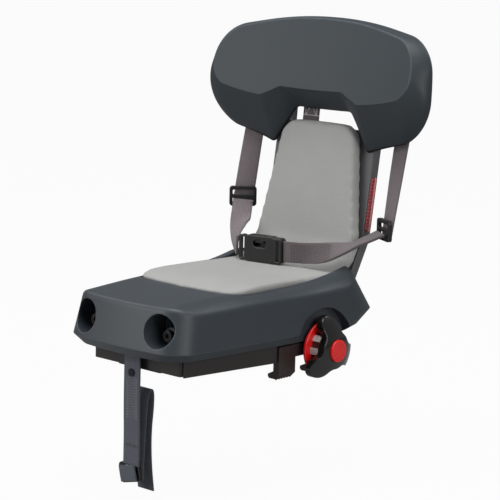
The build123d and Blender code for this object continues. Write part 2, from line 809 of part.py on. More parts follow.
# Base: tray with jaw channel, bearing and bosses, and a rail on each side of its front
with BuildPart() as base_tray:
    with BuildSketch(Plane.XY.offset(base_underside)) as tray_plan:
        add(base_outline(0))
        fillet(tray_plan.vertices().group_by(Axis.Y)[0], base_corner)
        fillet(tray_plan.vertices().group_by(Axis.Y)[-1], base_rear_corner)
    extrude(amount=lip_bottom - base_underside)
    with BuildSketch(Plane.XY.offset(base_underside)) as tray_hollow:
        add(base_outline(wall))
        fillet(tray_hollow.vertices().group_by(Axis.Y)[-1], base_rear_corner - wall)
    extrude(amount=base_ceiling - base_underside, mode=Mode.SUBTRACT)
    with BuildSketch(Plane.XY.offset(base_underside)):
        with Locations((0, (jaw_front_y + jaw_rear_y) / 2)):
            Rectangle(4 * base_half_rear, jaw_rear_y - jaw_front_y + 2 * clearance)
    extrude(amount=base_ceiling - base_underside, mode=Mode.SUBTRACT)
    with BuildSketch(Plane.XY.offset(base_underside)):
        with Locations((0, base_front_y + wall / 2 + base_floor_length / 2)):
            Rectangle(2 * base_half_front - wall, base_floor_length)
        with Locations(*both_sides(base_screw_points[:1])):
            Circle(screw_head / 2 + clearance, mode=Mode.SUBTRACT)
    extrude(amount=wall)
    with BuildSketch(Plane.XY.offset(plate_top)):
        for y in (jaw_front_y - clearance - rib_thickness / 2, jaw_rear_y + clearance + rib_thickness / 2):
            with Locations((0, y)):
                Rectangle(2 * tray_half(y) - wall, rib_thickness)
        Rectangle(2 * bearing_half, bearing_length)
        with Locations(*both_sides(plate_screw_points)):
            Circle(plate_boss_diameter / 2)
    extrude(amount=base_ceiling - plate_top)
    with BuildSketch(Plane.XY.offset(base_underside + wall)):
        rib_rear = jaw_front_y - clearance - rib_thickness
        with Locations(*both_sides([(base_half_front / 2, (base_front_y + rib_rear) / 2)])):
            Rectangle(rib_thickness, rib_rear - base_front_y)
    extrude(amount=base_ceiling - base_underside - wall)
    with BuildSketch(Plane.YZ.offset(-2 * bearing_half)):
        with Locations((0, spindle_z)):
            Circle(spindle_diameter / 2 + clearance)
    extrude(amount=4 * bearing_half, mode=Mode.SUBTRACT)
    with BuildSketch(Plane.XY.offset(plate_top)):
        with Locations(*both_sides(plate_screw_points)):
            Circle(plate_screw_diameter / 2 + clearance / 2)
    extrude(amount=plate_screw_length, mode=Mode.SUBTRACT)
    with BuildSketch(Plane.XY.offset(base_ceiling)):
        with Locations(*both_sides(base_screw_points + [(arm_centre_x, frame_screw_y)])):
            Circle(screw_diameter / 2 + clearance)
    extrude(amount=base_top_thickness, mode=Mode.SUBTRACT)

with BuildPart() as side_rail_right:
    rail_end = jaw_front_y - plate_border / 2
    with BuildSketch(Plane.XY.offset(base_underside / 2)):
        with BuildLine():
            Polyline(
                (tray_half(base_front_y + base_corner), base_front_y + base_corner),
                (tray_half(base_front_y + base_corner) + rail_thickness, base_front_y + base_corner),
                (tray_half(rail_end) + rail_thickness, rail_end),
                (tray_half(rail_end), rail_end),
                close=True,
            )
        make_face()
    extrude(amount=lip_bottom - base_underside / 2 - clearance)
    fillet(side_rail_right.edges().filter_by(Axis.Z).sort_by(Axis.Y)[0], rail_thickness / 2)

with BuildPart() as side_rail_left:
    mirror(side_rail_right.part, about=Plane.YZ)

with BuildPart() as front_foot:
    with BuildSketch(Plane.XY):
        with Locations((0, base_front_y + wall + foot_length / 2)):
            RectangleRounded(2 * foot_half, foot_length, wall)
    extrude(amount=base_underside)

with BuildPart() as base_screws:
    for x, y in both_sides(base_screw_points):
        seat = Plane(origin=(x, y, base_ceiling), z_dir=(0, 0, -1))
        add(screw(seat, screw_diameter, base_screw_length, screw_head, screw_head_height))

with BuildPart() as frame_screws:
    for x in (arm_centre_x, -arm_centre_x):
        seat = Plane(origin=(x, frame_screw_y, base_ceiling), z_dir=(0, 0, -1))
        add(screw(seat, screw_diameter, frame_screw_length, screw_head, screw_head_height))

# Carrier clamp: plate and mat under the jaws, hooked jaws on a spindle
with BuildPart() as clamp_plate:
    with BuildSketch(Plane.XY.offset(base_underside)):
        add(plate_outline(0))
        with Locations(*both_sides(plate_screw_points)):
            Circle(plate_screw_diameter / 2 + clearance, mode=Mode.SUBTRACT)
    extrude(amount=plate_thickness)

with BuildPart() as carrier_mat:
    with BuildSketch(Plane.XY):
        add(plate_outline(mat_margin))
        with Locations(*both_sides(plate_screw_points)):
            Circle(plate_screw_head / 2 + clearance, mode=Mode.SUBTRACT)
    extrude(amount=base_underside)

with BuildPart() as plate_screws:
    for x, y in both_sides(plate_screw_points):
        seat = Plane(origin=(x, y, base_underside), z_dir=(0, 0, -1))
        add(screw(seat, plate_screw_diameter, plate_screw_length, plate_screw_head, plate_screw_head_height))

with BuildPart() as jaw_right:
    with BuildSketch(Plane.XZ.offset(-jaw_front_y)):
        with Locations(((jaw_inner_x + jaw_outer_x) / 2, (jaw_block_bottom + jaw_block_top) / 2)):
            Rectangle(jaw_outer_x - jaw_inner_x, jaw_block_top - jaw_block_bottom)
    extrude(amount=jaw_front_y - jaw_rear_y)
    for start in hook_starts:
        with BuildSketch(Plane.XZ.offset(-start)):
            with BuildLine():
                Polyline(
                    (jaw_outer_x - jaw_leg, jaw_block_bottom + 1),
                    (jaw_outer_x, jaw_block_bottom + 1),
                    (jaw_outer_x, jaw_bottom + jaw_chamfer),
                    (jaw_outer_x - jaw_chamfer, jaw_bottom),
                    (jaw_lip_x + 2, jaw_bottom),
                    (jaw_lip_x, jaw_bottom + 2),
                    (jaw_lip_x, jaw_lip_top - 4),
                    (jaw_outer_x - jaw_leg, jaw_lip_top),
                    close=True,
                )
            make_face()
        extrude(amount=-hook_length)
        pitch = hook_length / grip_rib_count
        for index in range(grip_rib_count):
            with BuildSketch(Plane.XZ.offset(-start - (index + 0.5) * pitch + grip_rib_width / 2)):
                with BuildLine():
                    Polyline(
                        (jaw_outer_x, jaw_bottom + 1.5 * jaw_chamfer),
                        (jaw_outer_x + grip_rib_height, jaw_bottom + jaw_chamfer),
                        (jaw_outer_x - jaw_chamfer, jaw_bottom - grip_rib_height),
                        (jaw_outer_x - 1.5 * jaw_chamfer, jaw_bottom),
                        (jaw_outer_x - jaw_chamfer, jaw_bottom + jaw_chamfer),
                        close=True,
                    )
                make_face()
            extrude(amount=-grip_rib_width)
    with BuildSketch(Plane.YZ.offset(jaw_inner_x)):
        with Locations((0, spindle_z)):
            Circle(spindle_diameter / 2 + clearance)
    extrude(amount=jaw_outer_x - jaw_inner_x, mode=Mode.SUBTRACT)
    with BuildSketch(Plane.YZ.offset(nut_x - nut_length / 2 - clearance)):
        nut_room = nut_width + 2 * clearance
        with Locations((0, spindle_z - nut_room / 2)):
            Rectangle(nut_room, 2 * nut_room)
    extrude(amount=nut_length + 2 * clearance, mode=Mode.SUBTRACT)

with BuildPart() as jaw_left:
    mirror(jaw_right.part, about=Plane.YZ)

with BuildPart() as jaw_nut_right:
    with BuildSketch(Plane.YZ.offset(nut_x - nut_length / 2)):
        with Locations((0, spindle_z)):
            Rectangle(nut_width, nut_width)
            Circle(spindle_diameter / 2 + clearance, mode=Mode.SUBTRACT)
    extrude(amount=nut_length)

with BuildPart() as jaw_nut_left:
    mirror(jaw_nut_right.part, about=Plane.YZ)

with BuildPart() as clamp_spindle:
    with BuildSketch(Plane.YZ.offset(spindle_left_x)):
        with Locations((0, spindle_z)):
            Circle(spindle_diameter / 2)
    extrude(amount=well_x + knob_nut_length + clearance - spindle_left_x)

with BuildPart() as spindle_collars:
    for start in (bearing_half + clearance, -bearing_half - clearance - collar_length):
        with BuildSketch(Plane.YZ.offset(start)):
            with Locations((0, spindle_z)):
                Circle(collar_diameter / 2)
                Circle(spindle_diameter / 2 + clearance / 3, mode=Mode.SUBTRACT)
        extrude(amount=collar_length)

# Knob: flange, fluted drum, lobed cap, nut and a sprung button
with BuildPart() as knob_flange:
    with BuildSketch(Plane.YZ.offset(flange_x)):
        with Locations((0, spindle_z)):
            Circle(flange_diameter / 2)
            Circle(spindle_diameter / 2 + clearance / 3, mode=Mode.SUBTRACT)
    extrude(amount=flange_thickness)
    fillet(knob_flange.edges().filter_by(GeomType.CIRCLE).sort_by(SortBy.RADIUS)[-2:], flange_thickness / 3)

with BuildPart() as knob_drum:
    with BuildSketch(Plane.YZ.offset(drum_x)):
        with Locations((0, spindle_z)):
            Circle(drum_diameter / 2)
            Circle(spindle_diameter / 2 + clearance / 3, mode=Mode.SUBTRACT)
            with PolarLocations(drum_diameter / 2 + drum_flute_radius / 2, drum_flutes):
                Circle(drum_flute_radius, mode=Mode.SUBTRACT)
    extrude(amount=drum_length)

with BuildPart() as knob_cap:
    cap_face = cap_x + cap_length
    tip_x = cap_face - cap_lobe_sweep
    hub_inner = drum_diameter / 2 + clearance
    with BuildSketch(Plane(origin=(0, 0, spindle_z), x_dir=(1, 0, 0), z_dir=(0, -1, 0))):
        with BuildLine():
            Polyline((cap_x, 0), (cap_face, 0), (cap_face, 0.6 * hub_inner))
            ThreePointArc(
                (cap_face, 0.6 * hub_inner),
                (cap_face - 0.35 * cap_lobe_sweep, 1.2 * hub_inner),
                (tip_x, cap_lobe_reach),
            )
            lobe_back = (tip_x - cap_lobe_depth, cap_lobe_reach)
            Polyline((tip_x, cap_lobe_reach), lobe_back, (cap_x, hub_inner), (cap_x, 0))
        make_face()
    revolve(axis=Axis((0, 0, spindle_z), (1, 0, 0)))
    with BuildSketch(Plane.YZ.offset(flange_x)) as cap_plan:
        with Locations((0, spindle_z)):
            Circle(cap_hub_radius)
            with PolarLocations(cap_lobe_reach - cap_lobe_radius, cap_lobes, start_angle=cap_lobe_angle):
                Circle(cap_lobe_radius)
        fillet(cap_plan.vertices(), cap_valley_radius)
    extrude(amount=4 * cap_length, mode=Mode.INTERSECT)
    with BuildSketch(Plane.YZ.offset(cap_x)):
        with Locations((0, spindle_z)):
            Circle(spindle_diameter / 2 + clearance / 3)
    extrude(amount=cap_length, mode=Mode.SUBTRACT)
    with BuildSketch(Plane.YZ.offset(well_x)):
        with Locations((0, spindle_z)):
            Circle(button_diameter / 2 + clearance)
    extrude(amount=well_depth, mode=Mode.SUBTRACT)

with BuildPart() as knob_nut:
    with BuildSketch(Plane.YZ.offset(well_x)):
        with Locations((0, spindle_z)):
            RegularPolygon(knob_nut_width / 2, 6, major_radius=False)
            Circle(spindle_diameter / 2 + clearance / 3, mode=Mode.SUBTRACT)
    extrude(amount=knob_nut_length)

with BuildPart() as lock_button:
    with BuildSketch(Plane.YZ.offset(button_x - button_face - button_skirt)):
        with Locations((0, spindle_z)):
            Circle(button_diameter / 2)
    extrude(amount=button_face + button_skirt)
    fillet(lock_button.edges().sort_by(Axis.X)[-1], button_face / 3)
    with BuildSketch(Plane.YZ.offset(button_x - button_face - button_skirt)):
        with Locations((0, spindle_z)):
            Circle(button_diameter / 2 - button_wall)
    extrude(amount=button_skirt, mode=Mode.SUBTRACT)

with BuildPart() as button_spring:
    spring_height = button_x - button_face - well_x - spring_wire - 2 * clearance
    spring_start = (well_x + clearance + spring_wire / 2, 0, spindle_z)
    with BuildLine():
        pitch = spring_height / spring_turns
        coil = Helix(pitch, spring_height, spring_radius, center=spring_start, direction=(1, 0, 0))
    with BuildSketch(Plane(origin=coil @ 0, z_dir=coil % 0)):
        Circle(spring_wire / 2)
    sweep(path=coil)

# Harness: shoulder straps, sliders, waist straps and buckle
with BuildPart() as slider_right:
    add(slider_form(slider_right_plane))

with BuildPart() as slider_left:
    add(slider_form(slider_left_plane))

with BuildPart() as shoulder_strap_right:
    add(shoulder_strap(slider_right_plane, 1))

with BuildPart() as shoulder_strap_left:
    add(shoulder_strap(slider_left_plane, -1))

with BuildPart() as waist_strap_right:
    top = slider_right_plane.from_local_coords((0, -slider_bar, waist_off))
    end = buckle_plane.from_local_coords((buckle_body / 2 + buckle_loop + clearance, 0, 0))
    stations = [
        (top, -slider_right_plane.x_dir),
        (waist_bend_right, Vector(-0.62, 0.78, 0.1)),
        (waist_mid_right, Vector(-0.45, 0.45, 0.77)),
        (waist_lap_right, Vector(0, 0, 1)),
        (end, Vector(0, 0, 1)),
    ]
    add(ribbon(stations, 2 * webbing_thickness))

with BuildPart() as waist_strap_left:
    top = slider_left_plane.from_local_coords((0, -slider_bar, waist_off))
    end = buckle_plane.from_local_coords((-buckle_body / 2 - buckle_loop - waist_off, 0, 0))
    stations = [
        (top, slider_left_plane.x_dir),
        (waist_drop_left, slider_left_plane.x_dir),
        (waist_bend_left, Vector(0.4, 0.4, 0.8)),
        (end, Vector(0, 0, 1)),
    ]
    add(ribbon(stations, 2 * webbing_thickness))

with BuildPart() as buckle_female:
    with BuildSketch(buckle_plane):
        RectangleRounded(buckle_body, buckle_height, buckle_corner)
        with Locations(((buckle_body + buckle_loop) / 2 - buckle_corner, 0)):
            RectangleRounded(buckle_loop + 2 * buckle_corner, buckle_height - 2, slider_bar)
        with Locations(((buckle_body + buckle_loop) / 2, 0)):
            Rectangle(buckle_slot, webbing_width + 2 * clearance, mode=Mode.SUBTRACT)
    extrude(amount=buckle_thickness / 2, both=True)
    front_face = buckle_female.faces().filter_by(buckle_plane).sort_by(Axis.Y)[0]
    fillet(front_face.outer_wire().edges(), buckle_wall / 2)
    mouth = buckle_body - 2 * buckle_wall
    with BuildSketch(buckle_plane.offset(-buckle_thickness / 2 + buckle_wall)):
        with Locations((-buckle_wall, 0)):
            Rectangle(mouth, buckle_height - 2 * buckle_wall)
        with Locations((-buckle_body / 2, 0)):
            Rectangle(2 * buckle_wall + 2, buckle_height - 4 * buckle_wall)
        Rectangle(buckle_body / 2, 2 * buckle_height)
    extrude(amount=buckle_thickness - 2 * buckle_wall, mode=Mode.SUBTRACT)
    with BuildSketch(buckle_plane):
        with Locations((0, buckle_height / 5)):
            Ellipse(buckle_body / 4, buckle_height / 6)
    extrude(amount=buckle_thickness, mode=Mode.SUBTRACT)

with BuildPart() as buckle_male:
    male_start = -buckle_body / 2 - buckle_loop
    male_half = buckle_height / 2 - 2 * buckle_wall - clearance
    with BuildSketch(buckle_plane):
        with Locations((male_start + buckle_loop / 2 - clearance, 0)):
            RectangleRounded(buckle_loop - clearance, buckle_height - 2, slider_bar)
            Rectangle(buckle_slot, webbing_width + 2 * clearance, mode=Mode.SUBTRACT)
        for side in (1, -1):
            prong_x = -buckle_body / 2 + prong_length / 2 - wall
            with Locations((prong_x, side * (male_half - prong_width / 2))):
                Rectangle(prong_length, prong_width)
        with Locations((-buckle_body / 2 + prong_length / 2 - wall, 0)):
            Rectangle(prong_length, prong_width)
    extrude(amount=buckle_thickness / 2 - buckle_wall - clearance, both=True)

with BuildPart() as back_strap:
    behind = panel_thickness + clearance + webbing_thickness / 2
    levels = [frame_top_z - wall, pad_top, back_strap_bottom]
    points = [Vector(back_strap_x, frame_face(level) + behind, level) for level in levels]
    stations = [(point, Vector(1, 0, 0)) for point in points]
    add(ribbon(stations, webbing_thickness))

with BuildPart() as strap_screws:
    for plane in strap_screw_planes():
        add(screw(plane, screw_diameter, strap_screw_length, screw_head, screw_head_height))

# Safety strap: webbing on a rib inside the nose, rivet, ladder buckle and folded tail
with BuildPart() as safety_strap:
    with BuildSketch(Plane.XZ.offset(-safety_y)):
        with Locations((0, (safety_top + safety_end) / 2)):
            Rectangle(webbing_width, safety_top - safety_end)
        with Locations((0, safety_rivet_z)):
            Circle(safety_rivet_diameter / 4 + clearance, mode=Mode.SUBTRACT)
        with Locations((0, safety_top - webbing_width / 4)):
            Circle(screw_diameter / 2 + clearance, mode=Mode.SUBTRACT)
    extrude(amount=webbing_thickness / 2, both=True)

with BuildPart() as safety_screw:
    seat_y = safety_y - webbing_thickness / 2 - clearance
    seat = Plane(origin=(0, seat_y, safety_top - webbing_width / 4), x_dir=(1, 0, 0), z_dir=(0, -1, 0))
    add(screw(seat, screw_diameter, strap_screw_length, screw_head, screw_head_height))

with BuildPart() as safety_rivet:
    rivet_reach = webbing_thickness / 2 + clearance
    with BuildSketch(Plane.XZ.offset(-safety_y)):
        with Locations((0, safety_rivet_z)):
            Circle(safety_rivet_diameter / 4)
    extrude(amount=rivet_reach, both=True)
    for direction in (1, -1):
        with BuildSketch(Plane.XZ.offset(-safety_y + direction * rivet_reach)):
            with Locations((0, safety_rivet_z)):
                Circle(safety_rivet_diameter / 2)
        extrude(amount=direction * safety_rivet_height)

with BuildPart() as safety_buckle:
    ladder_y = safety_y + webbing_thickness / 2 + clearance + ladder_thickness / 2
    tilt = radians(ladder_turn)
    ladder_plane = Plane(
        origin=(ladder_x, ladder_y, ladder_z),
        x_dir=(cos(tilt), 0, sin(tilt)),
        z_dir=(0, -1, 0),
    )
    with BuildSketch(ladder_plane):
        RectangleRounded(ladder_width, ladder_height, ladder_bar)
        slot_height = (ladder_height - 3 * ladder_bar) / 2
        with Locations((0, (slot_height + ladder_bar) / 2), (0, -(slot_height + ladder_bar) / 2)):
            RectangleRounded(ladder_width - 2 * ladder_bar, slot_height, slot_height / 4, mode=Mode.SUBTRACT)
    extrude(amount=ladder_thickness / 2, both=True)

with BuildPart() as safety_tail:
    with BuildSketch(Plane.YZ):
        with BuildLine():
            FilletPolyline(*[(safety_y + y, z) for y, z in tail_route], radius=tail_radii)
        trace(line_width=webbing_thickness)
    extrude(amount=webbing_width / 2, both=True)

pieces = {
    "seat_shell": seat_shell,
    "front_bolts": front_bolts,
    "seat_pad": seat_pad,
    "back_frame": back_frame,
    "reflector_right": reflector_right,
    "reflector_left": reflector_left,
    "headrest_shell": headrest_shell,
    "headrest_cover": headrest_cover,
    "headrest_screws": headrest_screws,
    "base_tray": base_tray,
    "side_rail_right": side_rail_right,
    "side_rail_left": side_rail_left,
    "front_foot": front_foot,
    "base_screws": base_screws,
    "frame_screws": frame_screws,
    "clamp_plate": clamp_plate,
    "carrier_mat": carrier_mat,
    "plate_screws": plate_screws,
    "jaw_right": jaw_right,
    "jaw_left": jaw_left,
    "jaw_nut_right": jaw_nut_right,
    "jaw_nut_left": jaw_nut_left,
    "clamp_spindle": clamp_spindle,
    "spindle_collars": spindle_collars,
    "knob_flange": knob_flange,
    "knob_drum": knob_drum,
    "knob_cap": knob_cap,
    "knob_nut": knob_nut,
    "lock_button": lock_button,
    "button_spring": button_spring,
    "slider_right": slider_right,
    "slider_left": slider_left,
    "shoulder_strap_right": shoulder_strap_right,
    "shoulder_strap_left": shoulder_strap_left,
    "waist_strap_right": waist_strap_right,
    "waist_strap_left": waist_strap_left,
    "buckle_female": buckle_female,
    "buckle_male": buckle_male,
    "back_strap": back_strap,
    "strap_screws": strap_screws,
    "safety_strap": safety_strap,
    "safety_screw": safety_screw,
    "safety_rivet": safety_rivet,
    "safety_buckle": safety_buckle,
    "safety_tail": safety_tail,
}

os.makedirs("parts", exist_ok=True)
for name, piece in pieces.items():
    piece.part.label = name
    export_step(piece.part, f"parts/{name}.step")
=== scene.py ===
# %% [markdown]
# This lesson dresses a child bike seat. The solids come from the CAD model as a fixed frame, in
# metres, with +Z up and the seat facing -Y. Hard mouldings keep their CAD shape and get a finish of
# their own. The foam pad and all the webbing are made here, because they are soft.

# %% Load the frame
import math

import bmesh
import bpy
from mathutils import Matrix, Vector


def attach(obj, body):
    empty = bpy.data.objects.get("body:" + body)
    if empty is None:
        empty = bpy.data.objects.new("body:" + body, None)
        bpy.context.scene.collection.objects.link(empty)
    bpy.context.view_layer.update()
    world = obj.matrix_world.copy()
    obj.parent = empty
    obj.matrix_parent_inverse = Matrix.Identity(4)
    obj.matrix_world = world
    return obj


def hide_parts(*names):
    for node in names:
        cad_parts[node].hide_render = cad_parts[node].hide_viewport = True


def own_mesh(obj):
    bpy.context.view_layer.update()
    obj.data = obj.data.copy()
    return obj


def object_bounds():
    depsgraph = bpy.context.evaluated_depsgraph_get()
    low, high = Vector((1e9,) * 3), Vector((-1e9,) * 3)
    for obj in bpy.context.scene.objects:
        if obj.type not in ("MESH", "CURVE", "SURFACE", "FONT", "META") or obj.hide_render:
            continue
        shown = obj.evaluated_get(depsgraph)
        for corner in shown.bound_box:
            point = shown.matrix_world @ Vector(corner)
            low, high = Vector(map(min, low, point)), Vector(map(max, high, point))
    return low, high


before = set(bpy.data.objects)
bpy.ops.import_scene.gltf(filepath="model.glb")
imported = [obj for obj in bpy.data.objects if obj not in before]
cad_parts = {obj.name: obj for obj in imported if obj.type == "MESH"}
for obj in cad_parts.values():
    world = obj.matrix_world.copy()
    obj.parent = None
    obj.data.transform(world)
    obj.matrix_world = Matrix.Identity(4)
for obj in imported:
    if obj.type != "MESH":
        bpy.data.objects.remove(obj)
cad_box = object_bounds()
print("CAD nodes:", len(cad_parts))

# %% [markdown]
# Finishes are built from shader nodes. Writing them node by node hides the idea, so one small class
# wraps a socket and lets Python's operators add the Math nodes. Every other node comes from its
# `node` method: first the settings, then the values or links of its sockets.


# %% Sockets as Python values
class Wire:
    """A socket in a node tree that can be used in Python expressions."""

    def __init__(self, tree, socket=None):
        self.tree = tree
        self.socket = socket

    def node(self, kind, inputs=None, output=0, **settings):
        made = self.tree.nodes.new(kind)
        for name, value in settings.items():
            setattr(made, name, value)
        for name, value in (inputs or {}).items():
            if isinstance(value, Wire):
                self.tree.links.new(value.socket, made.inputs[name])
            else:
                made.inputs[name].default_value = value
        return Wire(self.tree, made.outputs[output] if made.outputs else None)

    def math(self, operation, first, second=0.0):
        return self.node("ShaderNodeMath", {0: first, 1: second}, operation=operation)

    def __add__(self, other):
        return self.math("ADD", self, other)

    def __sub__(self, other):
        return self.math("SUBTRACT", self, other)

    def __rsub__(self, other):
        return self.math("SUBTRACT", other, self)

    def __mul__(self, other):
        return self.math("MULTIPLY", self, other)

    def __gt__(self, other):
        return self.math("GREATER_THAN", self, other)

    def __lt__(self, other):
        return self.math("LESS_THAN", self, other)

    def wave(self, length):
        """Goes from 0 to 1 and back once in each length."""
        return self.math("SINE", self * (2 * math.pi / length)) * 0.5 + 0.5

    def size(self):
        return self.math("ABSOLUTE", self)


# %% [markdown]
# A colour in the photograph is an sRGB value, while shaders want linear light, so `paint` converts
# it. `mix` blends two colours by a mask, and `finish` closes a material: it makes the Principled
# shader, sets plain numbers on its sockets, and links only what changes over the surface.


# %% Colours and the closing shader
def paint(red, green, blue):
    """Linear colour of an sRGB value from 0 to 255."""
    steps = [channel / 255 for channel in (red, green, blue)]
    return [c / 12.92 if c <= 0.04045 else ((c + 0.055) / 1.055) ** 2.4 for c in steps]


def start(name):
    """New material's tree, as a wire to hang nodes on."""
    made = bpy.data.materials.new(name)
    made.use_nodes = True
    made.node_tree.nodes.clear()
    return made, Wire(made.node_tree)


def toned(shade, factor):
    """The same colour, darker or lighter."""
    return [channel * factor for channel in shade]


def mix(tree, mask, low, high):
    """Colour between two colours."""
    low, high = (end if isinstance(end, Wire) else (*end, 1.0) for end in (low, high))
    return tree.node("ShaderNodeMix", {0: mask, 6: low, 7: high}, output=2, data_type="RGBA")


def finish(made, tree, colour, roughness, height=None, depth=0.001, normal=None, **fixed):
    """Principled shader with a bump, closing the material."""
    sockets = {"Base Color": colour, "Roughness": roughness, **fixed}
    if height is not None:
        bump = {"Height": height, "Distance": depth, "Strength": 1.0}
        if normal is not None:
            bump["Normal"] = normal
        sockets["Normal"] = tree.node("ShaderNodeBump", bump)
    shader = tree.node("ShaderNodeBsdfPrincipled", sockets)
    tree.node("ShaderNodeOutputMaterial", {"Surface": shader})
    return made


def noise(tree, scale, detail=2.0):
    """Cloudy values from 0 to 1, fixed to the piece."""
    place = tree.node("ShaderNodeTexCoord", output="Object")
    return tree.node("ShaderNodeTexNoise", {"Vector": place, "Scale": scale, "Detail": detail})


# %% [markdown]
# The shell, headrest, frame and base are moulded plastic. Tools for such parts are spark-eroded,
# which leaves a fine matt grain. A bevel in the shader rounds every moulded edge, and where the
# rounded normal leaves the flat one, the edge gets a painted highlight. A second setting paints
# shade instead on the side of an edge that faces down, as along the line round the headrest.


# %% Moulded plastic
# How strongly the bevel's turn brings out the painted edge highlight.
edge_highlight_gain = 12.0


def moulded(name, shade, roughness, grain=0.00012, edge=0.0016, edge_highlight=0.5, shade_below_edge=0.0, **fixed):
    made, tree = start(name)
    grain_height = noise(tree, scale=1500.0, detail=3.0)
    cloud = noise(tree, scale=9.0, detail=4.0)
    rounded = tree.node("ShaderNodeBevel", {"Radius": edge}, samples=6)
    flat = tree.node("ShaderNodeNewGeometry", output="Normal")
    along = tree.node(
        "ShaderNodeVectorMath", {0: rounded, 1: flat}, output="Value", operation="DOT_PRODUCT"
    )
    painted_edge_mask = tree.node(
        "ShaderNodeMath", {0: (1 - along) * edge_highlight_gain, 1: 1.0}, operation="MINIMUM", use_clamp=True
    )
    # Edges get a painted highlight; on the side that faces down they can get painted shade instead.
    painted_highlight = [min(1.0, channel * (1 + edge_highlight) + 0.006 * edge_highlight) for channel in shade]
    under = tree.node("ShaderNodeSeparateXYZ", {0: flat}, output="Z") < 0.0
    painted_edge_light_and_shade = mix(tree, under * shade_below_edge, painted_highlight, toned(shade, 0.25))
    body = mix(tree, cloud, toned(shade, 0.9), toned(shade, 1.08))
    colour = mix(tree, painted_edge_mask, body, painted_edge_light_and_shade)
    gloss = cloud * 0.12 + (roughness - 0.06)
    return finish(made, tree, colour, gloss, grain_height, grain, rounded, **fixed)


# Each moulded finish paints a highlight on its edges; the headrest also paints shade below them.
shell_finish = moulded("moulded_shell", paint(52, 59, 65), roughness=0.44, edge_highlight=1.2)
headrest_finish = moulded(
    "moulded_headrest", paint(50, 57, 62), roughness=0.48, edge=0.0036, edge_highlight=1.4, shade_below_edge=1.0,
    **{"Specular IOR Level": 0.35},
)
frame_finish = moulded("moulded_frame", paint(92, 92, 94), roughness=0.5)
base_finish = moulded("moulded_base", paint(40, 36, 35), roughness=0.42)
jaw_finish = moulded("moulded_jaw", paint(54, 42, 41), roughness=0.4)
print("moulded finishes done")

# %% [markdown]
# The knob, its red flange and its button are polished plastic: the same moulding without grain, and
# with a clear shine from a coat. The harness hardware is black moulding with painted highlights on its
# edges. The drum inside the knob is fluted, and the pale lands between its dark flutes are painted
# reflections of the lamps on glossy black. The distance from the knob's axis tells one from the other.


# %% Polished plastic
def polished(name, shade, roughness, coat, edge=0.0008):
    made, tree = start(name)
    ripple = noise(tree, scale=60.0)
    rounded = tree.node("ShaderNodeBevel", {"Radius": edge}, samples=6)
    colour = mix(tree, ripple, toned(shade, 0.85), toned(shade, 1.12))
    gloss = ripple * 0.1 + (roughness - 0.05)
    shine = {"Coat Weight": coat, "Coat Roughness": 0.08}
    return finish(made, tree, colour, gloss, ripple, depth=0.00006, normal=rounded, **shine)


knob_finish = polished("polished_black", paint(20, 18, 17), roughness=0.18, coat=0.6, edge=0.0022)
# Painted highlights on the edges of the harness hardware, from the moulding's edge setting.
hardware_finish = moulded(
    "hardware_black", paint(20, 19, 19), roughness=0.36, grain=0.00004, edge=0.0014, edge_highlight=4.0
)
red_finish = polished("polished_red", paint(236, 26, 28), roughness=0.3, coat=0.3)

spindle_level = 0.0115
reflection_radius = 0.0225

made, tree = start("fluted_drum")
place = tree.node("ShaderNodeTexCoord", output="Object")
beside = tree.node("ShaderNodeSeparateXYZ", {0: place}, output="Y")
above = tree.node("ShaderNodeSeparateXYZ", {0: place}, output="Z") - spindle_level
from_axis = tree.math("SQRT", beside * beside + above * above)
# Painted reflection: beyond this radius the drum is pale, standing in for lamps mirrored in the glossy
# flutes.
painted_reflection = from_axis > reflection_radius
drum_with_reflections = mix(tree, painted_reflection, paint(38, 35, 33), paint(178, 176, 173))
drum_shine = {"Coat Weight": 0.4, "Coat Roughness": 0.1}
drum_finish = finish(made, tree, drum_with_reflections, 0.3 - painted_reflection * 0.08, **drum_shine)

# %% [markdown]
# A side reflector is clear red plastic over rows of small prisms. They send light back in bright
# bands, so a wave along the reflector makes its rows, and a painted highlight strip runs down its
# middle.

# %% Reflector
row_length = 0.0042
arm_lean, arm_start = 0.156, 0.0885
highlight_middle, highlight_half = 0.0015, 0.0014
made, tree = start("reflector_red")
place = tree.node("ShaderNodeTexCoord", output="Object")
level = tree.node("ShaderNodeSeparateXYZ", {0: place}, output="Z")
behind = tree.node("ShaderNodeSeparateXYZ", {0: place}, output="Y")
rows = level.wave(row_length)
from_front = behind - level * arm_lean - arm_start
# Painted highlight: a pale pink strip down the reflector's face.
highlight_strip = (from_front - highlight_middle).size() < highlight_half
prisms = mix(tree, rows, paint(120, 24, 30), paint(176, 56, 64))
lit = mix(tree, highlight_strip, prisms, paint(236, 150, 152))
clear_coat = {"Coat Weight": 0.8, "Coat Roughness": 0.05}
reflector_finish = finish(made, tree, lit, 0.16, rows, depth=0.0004, **clear_coat)

# %% [markdown]
# Rubber, steel and the foam pad are the remaining plain finishes. The foam is closed-cell: a pale
# grey skin with tiny pores, so a fine Voronoi pattern dents it and a slow cloud varies its shade.

# %% Rubber, steel and foam
made, tree = start("rubber")
speck = noise(tree, scale=700.0)
rubber_tone = mix(tree, speck, paint(28, 28, 28), paint(40, 40, 40))
rubber_finish = finish(made, tree, rubber_tone, 0.8, speck, depth=0.0002)


def steel(name, dark, light, roughness):
    """Brushed metal between two shades."""
    made, tree = start(name)
    brushed = noise(tree, scale=400.0, detail=4.0)
    tone = mix(tree, brushed, dark, light)
    gloss = brushed * 0.2 + roughness
    return finish(made, tree, tone, gloss, brushed, depth=0.00005, Metallic=1.0)


steel_finish = steel("steel", paint(150, 150, 152), paint(196, 196, 198), 0.25)
dark_steel_finish = steel("dark_steel", paint(40, 42, 48), paint(60, 62, 68), 0.35)

